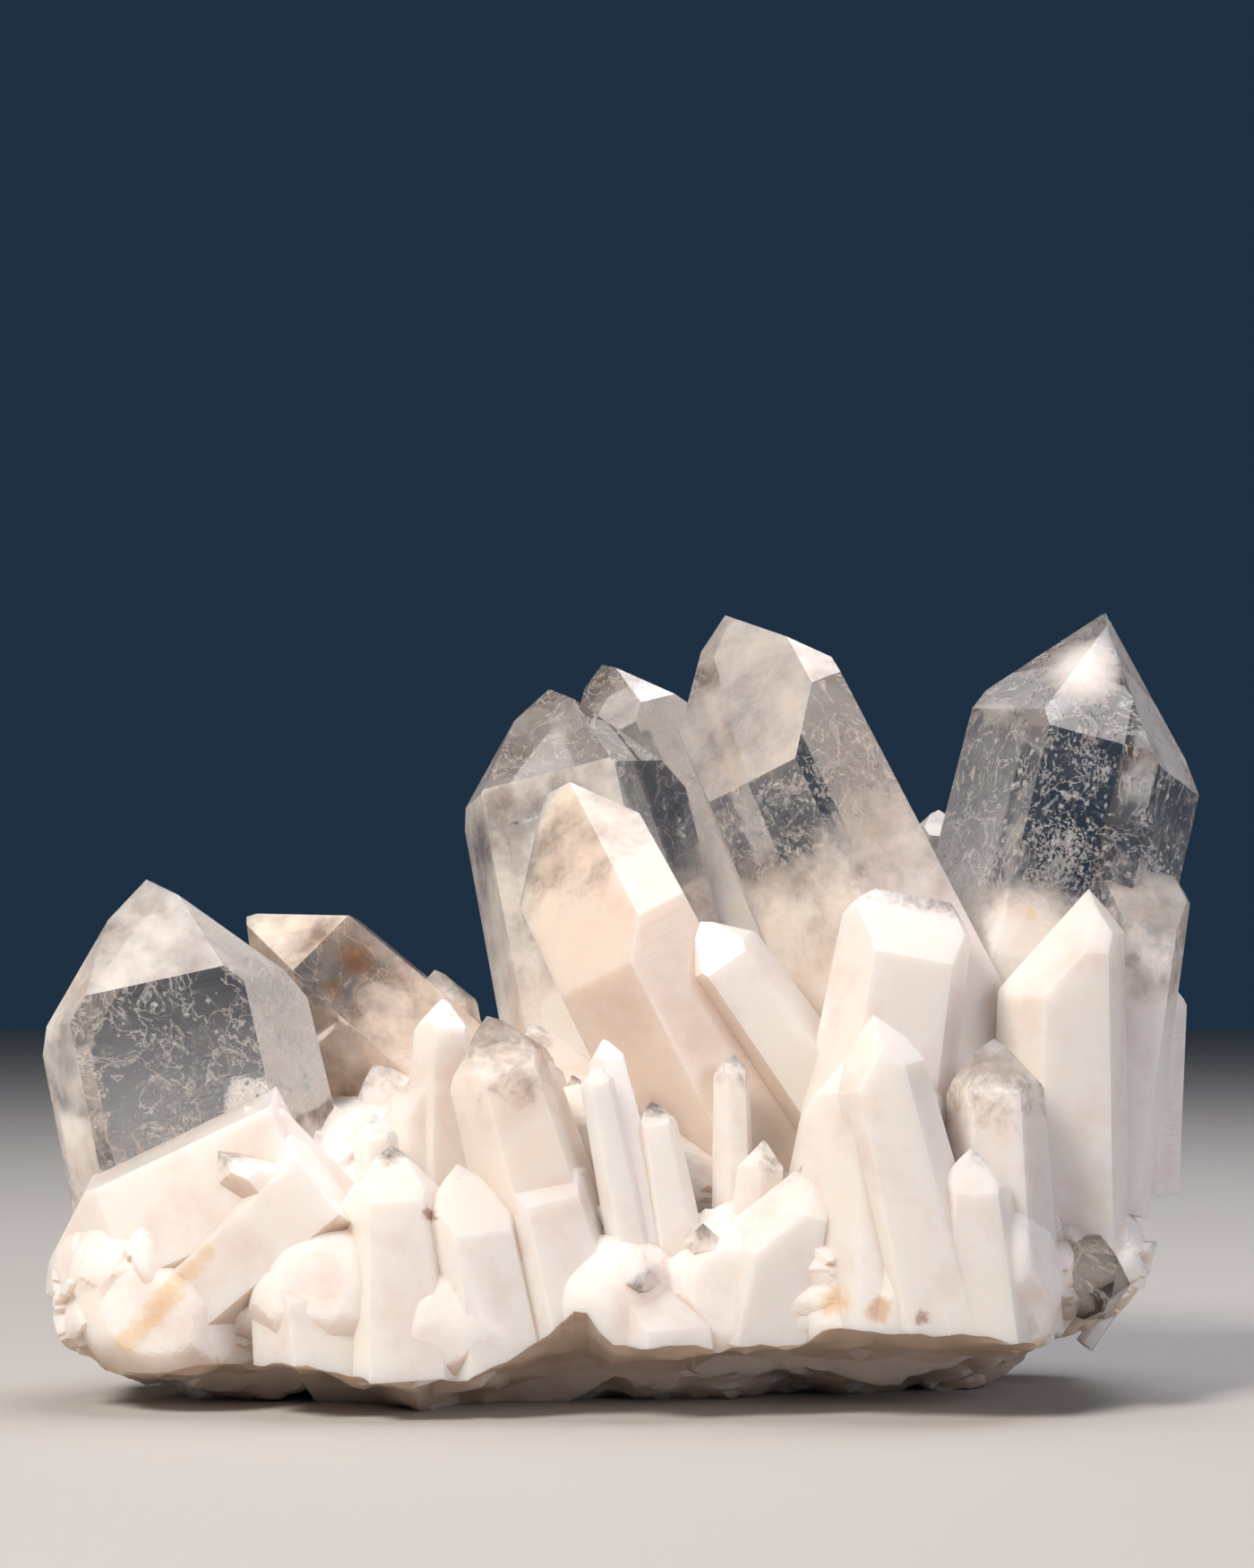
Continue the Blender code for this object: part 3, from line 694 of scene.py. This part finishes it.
def grow_cluster():
    """The whole stone as one closed mesh, and for each crystal its row, its own part and its planes."""
    solids = gathered("growth")
    owners = []
    for number, row in enumerate(all_rows()):
        for part in growth_steps(row, number):
            owners.append((row, part, *settled_planes(part, number)))
    for number, row in enumerate(druse_rows()):
        owners.append((row, row, *settled_planes(row, number)))
    for row, part, normals, offsets in owners:
        plane_solid(part[0], normals, offsets, solids)
    for number, lump in enumerate(LUMPS[1:], 1):
        rough_lump(f"lump_{number}", lump, solids, LUMP_SUBDIVISIONS)
    for number, lump in enumerate(OVERGROWTH):
        rough_lump(f"overgrowth_{number}", lump, solids, OVERGROWTH_SUBDIVISIONS, grain=False,
                   relief=OVERGROWTH_RELIEF)
    stone = rough_lump("quartz_stone", LUMPS[0], None, LUMP_SUBDIVISIONS)
    boolean(stone, "UNION", collection=solids)
    boolean(stone, "DIFFERENCE", other=make_underside())
    return stone, owners


def cut_to_stand(stone):
    """Cuts the stone off flat at the level that it stands on."""
    work = bmesh.new()
    work.from_mesh(stone.data)
    cut = bmesh.ops.bisect_plane(work, geom=work.verts[:] + work.edges[:] + work.faces[:], dist=1e-7,
                                 plane_co=(0, 0, STAND_LEVEL * MM), plane_no=(0, 0, -1), clear_outer=True)
    rim = [item for item in cut["geom_cut"] if isinstance(item, bmesh.types.BMEdge)]
    bmesh.ops.holes_fill(work, edges=rim)
    bmesh.ops.triangulate(work, faces=work.faces)
    work.to_mesh(stone.data)
    work.free()


def to_world(made):
    """Moves a mesh from the coordinates of the crystal rows to where the CAD stands."""
    made.data.transform(Matrix.Translation(Vector(STONE_MIDDLE) * -MM))


def face_arrays(mesh):
    """Centres in millimetres and normals of a mesh's faces."""
    centres = np.empty(len(mesh.polygons) * 3)
    normals = np.empty(len(mesh.polygons) * 3)
    mesh.polygons.foreach_get("center", centres)
    mesh.polygons.foreach_get("normal", normals)
    return centres.reshape(-1, 3) / MM, normals.reshape(-1, 3)


def find_growth(mesh, owners):
    """For each face the number of the crystal plane that it lies on, or -1 on a rough break."""
    centres, normals = face_arrays(mesh)
    found = np.full(len(centres), -1)
    for number, (row, part, plane_normals, offsets) in enumerate(owners):
        middle = (np.asarray(part[1], float) + part[2]) / 2
        reach = np.linalg.norm(np.subtract(part[1], part[2])) / 2 + 3 * part[3]
        near = np.flatnonzero((np.linalg.norm(centres - middle, axis=1) < reach) & (found < 0))
        away = centres[near] @ plane_normals.T - offsets
        same = (np.abs(away) < FACE_TOLERANCE) & (normals[near] @ plane_normals.T > SAME_WAY)
        same &= (away < FACE_TOLERANCE).all(axis=1)[:, None]
        hit = same.any(axis=1)
        found[near[hit]] = number * PLANE_SLOTS + same[hit].argmax(axis=1)
    return found


def paint_growth(stone, owners):
    """Writes on each corner how deep it lies below its crystal's summit, and how clear and lined its face is."""
    mesh = stone.data
    found = find_growth(mesh, owners)
    for name in ("growth", "tint"):
        mesh.color_attributes.new(name, "FLOAT_COLOR", "CORNER")
    corners = np.empty(len(mesh.vertices) * 3)
    mesh.vertices.foreach_get("co", corners)
    totals = np.empty(len(mesh.polygons), int)
    mesh.polygons.foreach_get("loop_total", totals)
    ends = np.empty(len(mesh.loops), int)
    mesh.loops.foreach_get("vertex_index", ends)
    points = corners.reshape(-1, 3)[ends] / MM
    plane_of_corner = np.repeat(found, totals)
    clear, milky, haze, tan = MILKY
    growth = np.tile((0.6, clear / PAINTED_LENGTH, milky / PAINTED_LENGTH, ROUGH_BREAK), (len(ends), 1))
    tint = np.tile((haze, tan, 0.5, 0.0), (len(ends), 1))
    for number, (row, part, plane_normals, offsets) in enumerate(owners):
        mine = plane_of_corner // PLANE_SLOTS == number
        along = axis_frame(row[1], row[2])[0]
        clear, milky, haze, tan = CLARITY.get(row[0], MILKY)
        growth[mine, 0] = (np.asarray(row[1], float) @ along - points[mine] @ along) / PAINTED_LENGTH
        growth[mine, 1:3] = (clear / PAINTED_LENGTH, milky / PAINTED_LENGTH)
        tint[mine] = (haze, tan, (number * 0.618) % 1, 0.0)
        for plane in range(2 * SIDES):
            face = plane_of_corner == number * PLANE_SLOTS + plane
            growth[face, 3] = END_FACE if plane % 2 else PRISM_FACE
            tint[face, 0] = FACE_HAZE.get((row[0], plane), haze)
            tint[face, 3] = 0.0 if plane % 2 else GROWTH_LINES.get((row[0], plane), FAINT_LINES)
    mesh.color_attributes["growth"].data.foreach_set("color", growth.astype(np.float32).ravel())
    mesh.color_attributes["tint"].data.foreach_set("color", tint.astype(np.float32).ravel())
    mesh.polygons.foreach_set("use_smooth", found < 0)
    mesh.set_sharp_from_angle(angle=SHARP_FROM)


def milk_core(owners):
    """The white veil-filled quartz inside the crystals, one closed cloud a little under the skin."""
    solids = gathered("milk")
    for row, part, normals, offsets in owners:
        if part is not row or row[0].startswith("druse"):
            continue
        clear, milky = CLARITY.get(row[0], MILKY)[:2]
        along = axis_frame(row[1], row[2])[0]
        top = np.asarray(row[1], float) @ along - max(0.6 * milky + 0.4 * clear, CORE_BELOW_SUMMIT)
        normals, shrunk = np.vstack((normals, along)), np.append(offsets - CORE_INSET, top)
        if len(corners_of(normals, shrunk)) > 4:
            plane_solid(f"core_{row[0]}", normals, shrunk, solids)
    for number, lump in enumerate(LUMPS[1:], 1):
        rough_lump(f"core_lump_{number}", lump, solids, CORE_SUBDIVISIONS, grain=False, share=CORE_SHARE)
    core = rough_lump("milk_core", LUMPS[0], None, CORE_SUBDIVISIONS, grain=False, share=CORE_SHARE)
    boolean(core, "UNION", collection=solids)
    grain = core.modifiers.new("grain", "REMESH")
    grain.mode = "VOXEL"
    grain.voxel_size = CORE_VOXEL * MM
    bpy.ops.object.modifier_apply(modifier=grain.name)
    outward = [vert.normal.copy() for vert in core.data.vertices]
    for vert, way in zip(core.data.vertices, outward):
        point = vert.co / MM
        wave = noise.noise(point * 0.35) * 0.7 + noise.noise(point * 0.9) * 0.35
        vert.co -= way * (0.5 + wave) * CORE_CLOUD * MM
        low = underside_level(point.x, point.y) + CORE_INSET
        vert.co.z = max(vert.co.z, max(low, CORE_INSET) * MM)
    core.data.polygons.foreach_set("use_smooth", [True] * len(core.data.polygons))
    return core


def add_flake(corners, faces, point, sizes, way):
    """One closed eight-sided flake that lies across the way it faces."""
    along, front, right = axis_frame(way, (0.0, 0.0, 0.0))
    first = len(corners)
    for axis, size in ((front, sizes[0]), (right, sizes[1]), (along, sizes[2])):
        corners.append(point + axis * size)
        corners.append(point - axis * size)
    for a, b, c in ((0, 2, 4), (2, 1, 4), (1, 3, 4), (3, 0, 4), (2, 0, 5), (1, 2, 5), (3, 1, 5), (0, 3, 5)):
        faces.append((first + a, first + b, first + c))


def inside(point, normals, offsets, margin):
    """Whether the point lies deeper than the margin below every plane."""
    return (normals @ point < offsets - margin).all()


def snow_flecks(owners):
    """White flakes of tiny bubbles in the clear crystals, thicker towards the milky part and along healed cracks."""
    chance = np.random.default_rng(SEED)
    planes = {part[0]: (row, normals, offsets) for row, part, normals, offsets in owners}
    corners, faces = [], []
    for name, (count, first, last) in SNOW.items():
        row, normals, offsets = planes[name]
        along, front, right = axis_frame(row[1], row[2])
        for _ in range(count):
            depth = first + (last - first) * math.sqrt(chance.uniform())
            aside = chance.uniform(-1, 1, 2) * row[3] * 1.1
            point = np.asarray(row[1], float) - along * depth + front * aside[0] + right * aside[1]
            if inside(point, normals, offsets, SNOW_DEPTH):
                size = SNOW_LEAST + SNOW_MORE * chance.uniform() ** SNOW_RARITY
                add_flake(corners, faces, point, size * chance.uniform(*SNOW_SHAPE, 3), chance.normal(size=3))
    for name, depth, way, count in VEILS:
        row, normals, offsets = planes[name]
        along = axis_frame(row[1], row[2])[0]
        across, front, right = axis_frame(way, (0.0, 0.0, 0.0))
        for _ in range(count):
            aside = chance.normal(size=2) * row[3] * VEIL_SPREAD
            point = np.asarray(row[1], float) - along * depth + front * aside[0] + right * aside[1]
            point += across * (chance.normal() * 0.10 + 0.06 * aside[0] ** 2 / row[3])
            if inside(point, normals, offsets, VEIL_DEPTH):
                sizes = (chance.uniform(*VEIL_LENGTHS), chance.uniform(*VEIL_BREADTHS), VEIL_THICKNESS)
                add_flake(corners, faces, point, sizes, across + chance.normal(size=3) * 0.08)
    mesh = bpy.data.meshes.new("snow_flecks")
    mesh.from_pydata([tuple(corner * MM) for corner in corners], [], faces)
    flecks = bpy.data.objects.new("snow_flecks", mesh)
    bpy.context.scene.collection.objects.link(flecks)
    return flecks


def linear(code):
    """An sRGB hex colour as linear red, green, blue and alpha."""
    parts = [int(code[i:i + 2], 16) / 255 for i in (1, 3, 5)]
    return tuple(p / 12.92 if p <= 0.04045 else ((p + 0.055) / 1.055) ** 2.4 for p in parts) + (1.0,)


def add(tree, kind, values=None, links=None, **settings):
    """A new node of the kind, with its settings, its input values and the sockets that feed it."""
    node = tree.nodes.new("ShaderNode" + kind)
    for name, value in settings.items():
        setattr(node, name, value)
    for socket, value in (values or {}).items():
        node.inputs[socket].default_value = value
    for socket, source in (links or {}).items():
        tree.links.new(source, node.inputs[socket])
    return node


def ramp(node, stops):
    """Sets the stops of a colour ramp: position and grey or colour."""
    while len(node.color_ramp.elements) < len(stops):
        node.color_ramp.elements.new(0.5)
    for element, (place, colour) in zip(node.color_ramp.elements, stops):
        element.position = place
        element.color = colour if isinstance(colour, tuple) else (colour, colour, colour, 1.0)
    return node


def per_metre(millimetres):
    """The texture scale whose pattern repeats about every so many millimetres."""
    return 1.0 / (millimetres * MM)


def closeness(tree, place, spot, radius):
    """One at the spot, given in millimetres, falling to nothing at the radius, and three times as far in depth."""
    centre = [(a - b) * MM for a, b in zip(spot, STONE_MIDDLE)]
    centre[1] /= 3
    flat = add(tree, "VectorMath", {1: (1.0, 1 / 3, 1.0)}, {0: place}, operation="MULTIPLY")
    away = add(tree, "VectorMath", {1: centre}, {0: flat.outputs["Vector"]}, operation="DISTANCE")
    return add(tree, "MapRange", {1: radius * MM, 2: 0.3 * radius * MM, 3: 0.0, 4: 1.0}, {0: away.outputs["Value"]},
               interpolation_type="SMOOTHSTEP").outputs[0]


def clear_to_milky_quartz():
    """Rock crystal, grown from hot water, so its faces are as smooth as glass and lined across by growth. It is
    clear at the points, milky with tiny bubbles below, and matt and sugary where it was broken."""
    material = bpy.data.materials.new("clear_to_milky_quartz")
    material.use_nodes = True
    tree = material.node_tree
    shader = tree.nodes["Principled BSDF"]
    place = add(tree, "TexCoord").outputs["Object"]
    growth = add(tree, "Attribute", attribute_name="growth")
    tint = add(tree, "Attribute", attribute_name="tint")
    grown = add(tree, "SeparateColor", links={"Color": growth.outputs["Color"]})
    tinted = add(tree, "SeparateColor", links={"Color": tint.outputs["Color"]})
    kind = growth.outputs["Alpha"]
    facing = add(tree, "NewGeometry").outputs["True Normal"]
    below = add(tree, "SeparateXYZ", links={"Vector": facing}).outputs["Z"]

    # Milkiness: bubbles trapped while the crystal grew, in clouds of about 9 mm with wisps of 2 mm
    clouds = add(tree, "TexNoise", {"Scale": per_metre(9), "Detail": 6.0, "Roughness": 0.62}, {"Vector": place})
    wisps = add(tree, "TexNoise", {"Scale": per_metre(2.2), "Detail": 5.0, "Roughness": 0.7, "Distortion": 0.8},
                {"Vector": place})
    both = add(tree, "Math", {1: 0.35}, {0: wisps.outputs["Fac"], 2: clouds.outputs["Fac"]}, operation="MULTIPLY_ADD")
    reach = add(tree, "Math", {1: 0.22, 2: -0.15}, {0: both.outputs[0]}, operation="MULTIPLY_ADD")
    depth = add(tree, "Math", links={0: grown.outputs["Red"], 1: reach.outputs[0]}, operation="ADD")
    milk = add(tree, "MapRange", {3: 0.0, 4: 0.93}, {0: depth.outputs[0], 1: grown.outputs["Green"],
               2: grown.outputs["Blue"]}, interpolation_type="SMOOTHSTEP")
    hazed = add(tree, "MapRange", {1: 0.36, 2: 0.64, 3: 0.30, 4: 1.12}, {0: clouds.outputs["Fac"]})
    haze = add(tree, "Math", links={0: hazed.outputs[0], 1: tinted.outputs["Red"]}, operation="MULTIPLY")
    body = add(tree, "Math", links={0: milk.outputs[0], 1: haze.outputs[0]}, operation="MAXIMUM").outputs[0]

    # Healed cracks: thin bent veils about 6 mm apart, near the skin of the clear parts
    folds = add(tree, "TexNoise", {"Scale": per_metre(6), "Detail": 5.0, "Roughness": 0.6, "Distortion": 1.6},
                {"Vector": place})
    ridge = add(tree, "Math", {1: 0.5}, {0: folds.outputs["Fac"]}, operation="SUBTRACT")
    away = add(tree, "Math", links={0: ridge.outputs[0]}, operation="ABSOLUTE")
    veil = add(tree, "MapRange", {1: 0.022, 2: 0.0, 3: 0.0, 4: 0.42}, {0: away.outputs[0]})
    body = add(tree, "Math", links={0: body, 1: veil.outputs[0]}, operation="MAXIMUM").outputs[0]

    # Stains and frosted places have ragged edges a few millimetres deep
    ragged = add(tree, "Mix", {0: 0.0035}, {4: place, 5: wisps.outputs["Color"]}, data_type="VECTOR")
    for spot, radius, strength in FROSTS:
        frost = closeness(tree, ragged.outputs[1], spot, radius)
        frosted = add(tree, "Math", {1: strength}, {0: frost}, operation="MULTIPLY")
        body = add(tree, "Math", links={0: body, 1: frosted.outputs[0]}, operation="MAXIMUM").outputs[0]
    crystal = add(tree, "Math", {1: 0.25}, {0: kind}, operation="GREATER_THAN")
    broken = add(tree, "Math", {0: 1.0}, {1: crystal.outputs[0]}, operation="SUBTRACT")
    passing = add(tree, "Math", {0: 1.0}, {1: body}, operation="SUBTRACT")
    clear = add(tree, "Math", links={0: passing.outputs[0], 1: crystal.outputs[0]}, operation="MULTIPLY",
                use_clamp=True)
    tree.links.new(clear.outputs[0], shader.inputs["Transmission Weight"])

    # Colour: white milk, warm cream where the tan is high, browner on faces that look down as painted shade, almost
    # none where the stone is clear, iron stains, and two patches of painted shade under the rims
    cream = add(tree, "Mix", {6: linear("#FAF7F4"), 7: linear("#EDD9C6")}, {0: tinted.outputs["Green"]},
                data_type="RGBA")
    tone = ramp(add(tree, "ValToRGB", links={"Fac": clouds.outputs["Fac"]}),
                [(0.32, linear("#F3ECE9")), (0.52, linear("#FDFCFC")), (0.74, linear("#FFF9F3"))])
    colour = add(tree, "Mix", {0: 1.0}, {6: cream.outputs[2], 7: tone.outputs["Color"]}, data_type="RGBA",
                 blend_type="MULTIPLY").outputs[2]
    # Painted shade: faces that look down turn browner, standing in for the shadow under the rim
    painted_underside_shade = add(tree, "MapRange", {1: -0.15, 2: -0.85, 3: 0.0, 4: 0.8}, {0: below})
    colour = add(tree, "Mix", {7: linear("#C9A98C")}, {0: painted_underside_shade.outputs[0], 6: colour}, data_type="RGBA").outputs[2]
    filled = add(tree, "MapRange", {1: 0.0, 2: 0.2}, {0: body}).outputs[0]
    colour = add(tree, "Mix", {6: linear("#D6DADE")}, {0: filled, 7: colour}, data_type="RGBA").outputs[2]
    # Iron stains, and two patches of painted shade under the rims
    for spot, radius, stain_and_shade_colour, strength in STAINS_AND_SHADE:
        near = closeness(tree, ragged.outputs[1], spot, radius)
        share = add(tree, "Math", {1: strength}, {0: near}, operation="MULTIPLY")
        colour = add(tree, "Mix", {7: linear(stain_and_shade_colour)}, {0: share.outputs[0], 6: colour}, data_type="RGBA").outputs[2]
    tree.links.new(colour, shader.inputs["Base Color"])

    # Growth lines across the side faces, drawn coarser than the finest real ones so that they show, and
    # sugary grains of 0.8 mm on the breaks
    stripes = add(tree, "Math", {1: PAINTED_LENGTH / LINE_SPACING}, {0: grown.outputs["Red"]}, operation="MULTIPLY")
    lines = add(tree, "TexNoise", {"Scale": 1.0, "Detail": 3.0, "Roughness": 0.6}, {"W": stripes.outputs[0]},
                noise_dimensions="1D")
    striped = add(tree, "Math", links={0: lines.outputs["Fac"], 1: tint.outputs["Alpha"]}, operation="MULTIPLY")
    grains = add(tree, "TexNoise", {"Scale": per_metre(0.8), "Detail": 4.0, "Roughness": 0.65}, {"Vector": place})
    rough_grains = add(tree, "Math", {1: 3.0}, {0: broken.outputs[0]}, operation="MULTIPLY")
    height = add(tree, "Math", links={0: grains.outputs["Fac"], 1: rough_grains.outputs[0], 2: striped.outputs[0]},
                 operation="MULTIPLY_ADD")
    relief = add(tree, "Bump", {"Strength": 0.4, "Distance": 0.12 * MM}, {"Height": height.outputs[0]})
    tree.links.new(relief.outputs["Normal"], shader.inputs["Normal"])
    polish = add(tree, "MapRange", {1: 0.0, 2: 1.0, 3: 0.03, 4: 0.24}, {0: body})
    dull = add(tree, "Math", {1: 0.30}, {0: broken.outputs[0], 2: polish.outputs[0]}, operation="MULTIPLY_ADD")
    tree.links.new(dull.outputs[0], shader.inputs["Roughness"])
    shader.inputs["IOR"].default_value = 1.544
    shader.inputs["Subsurface Weight"].default_value = 1.0
    shader.inputs["Subsurface Radius"].default_value = (1.0, 0.88, 0.78)
    shader.inputs["Subsurface Scale"].default_value = 4 * MM
    return material


def bubble_filled_quartz(name, scale, bright):
    """Quartz so full of bubbles and healed cracks that it looks like snow. It lies under clear quartz and was
    never polished or broken open, so it has no shine of its own."""
    material = bpy.data.materials.new(name)
    material.use_nodes = True
    tree = material.node_tree
    shader = tree.nodes["Principled BSDF"]
    place = add(tree, "TexCoord").outputs["Object"]
    clouds = add(tree, "TexNoise", {"Scale": per_metre(scale), "Detail": 6.0, "Roughness": 0.65}, {"Vector": place})
    tone = ramp(add(tree, "ValToRGB", links={"Fac": clouds.outputs["Fac"]}),
                [(0.30, linear(bright[0])), (0.55, linear(bright[1])), (0.75, linear(bright[2]))])
    tree.links.new(tone.outputs["Color"], shader.inputs["Base Color"])
    shader.inputs["Roughness"].default_value = 0.7
    shader.inputs["Subsurface Weight"].default_value = 0.6
    shader.inputs["Subsurface Radius"].default_value = (1.0, 0.88, 0.78)
    shader.inputs["Subsurface Scale"].default_value = 3 * MM
    return material


def set_camera():
    """The camera stands low in front of the stone, as for the photograph."""
    data = bpy.data.cameras.new("camera")
    data.sensor_fit = "VERTICAL"
    data.sensor_height = SENSOR_HEIGHT
    data.lens = FOCAL_PIXELS / PICTURE_HEIGHT * SENSOR_HEIGHT
    camera = bpy.data.objects.new("camera", data)
    place = Vector((0.0, -CAMERA_DISTANCE, CAMERA_HEIGHT)) - Vector(STONE_MIDDLE)
    camera.location = place * MM
    camera.rotation_euler = (math.radians(90) + math.atan(HORIZON_PIXELS / FOCAL_PIXELS), 0.0, 0.0)
    bpy.context.scene.collection.objects.link(camera)
    bpy.context.scene.camera = camera


def soft_light(name, place, size, watts, colour):
    """A soft square light that shines at the middle of the stone."""
    data = bpy.data.lights.new(name, "AREA")
    data.size = size
    data.energy = watts
    data.color = linear(colour)[:3]
    light = bpy.data.objects.new(name, data)
    light.location = place
    way = Vector((0.0, 0.0, LIT_HEIGHT)) - light.location
    light.rotation_euler = way.to_track_quat("-Z", "Y").to_euler()
    bpy.context.scene.collection.objects.link(light)


def set_stage():
    """A plain pale floor, a plain dark surround and soft lights."""
    work = bmesh.new()
    bmesh.ops.create_grid(work, x_segments=1, y_segments=1, size=1.0)
    floor = mesh_object("floor", work)
    floor.scale = (2.5, 1.6, 1.0)
    floor.location = (0.0, 0.3, 0.0)
    # Board painted with a roller: even, pale and matt
    material = bpy.data.materials.new("pale_board")
    material.use_nodes = True
    shader = material.node_tree.nodes["Principled BSDF"]
    shader.inputs["Base Color"].default_value = linear("#B9B7B4")
    shader.inputs["Roughness"].default_value = 0.8
    floor.data.materials.append(material)
    world = bpy.data.worlds.new("studio")
    bpy.context.scene.world = world
    world.use_nodes = True
    ground = world.node_tree.nodes["Background"]
    ground.inputs["Color"].default_value = linear("#1E3041")
    ground.inputs["Strength"].default_value = 1.0
    for light in LIGHTS:
        soft_light(*light)
    bpy.context.scene.view_settings.view_transform = "Standard"


noise.seed_set(SEED)
stone, owners = grow_cluster()
cut_to_stand(stone)
paint_growth(stone, owners)
core = milk_core(owners)
flecks = snow_flecks(owners)
finishes = (
    (stone, clear_to_milky_quartz()),
    (core, bubble_filled_quartz("milky_quartz_core", 5, ("#E4D8D1", "#FAF2EA", "#FFFBF4"))),
    (flecks, bubble_filled_quartz("snowy_quartz", 1, ("#F0EAE6", "#FFFDFA", "#FFFFFF"))),
)
for piece, material in finishes:
    to_world(piece)
    piece.data.materials.clear()
    piece.data.materials.append(material)
    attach(piece, "root")
    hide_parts("quartz_cluster")
set_stage()
set_camera()
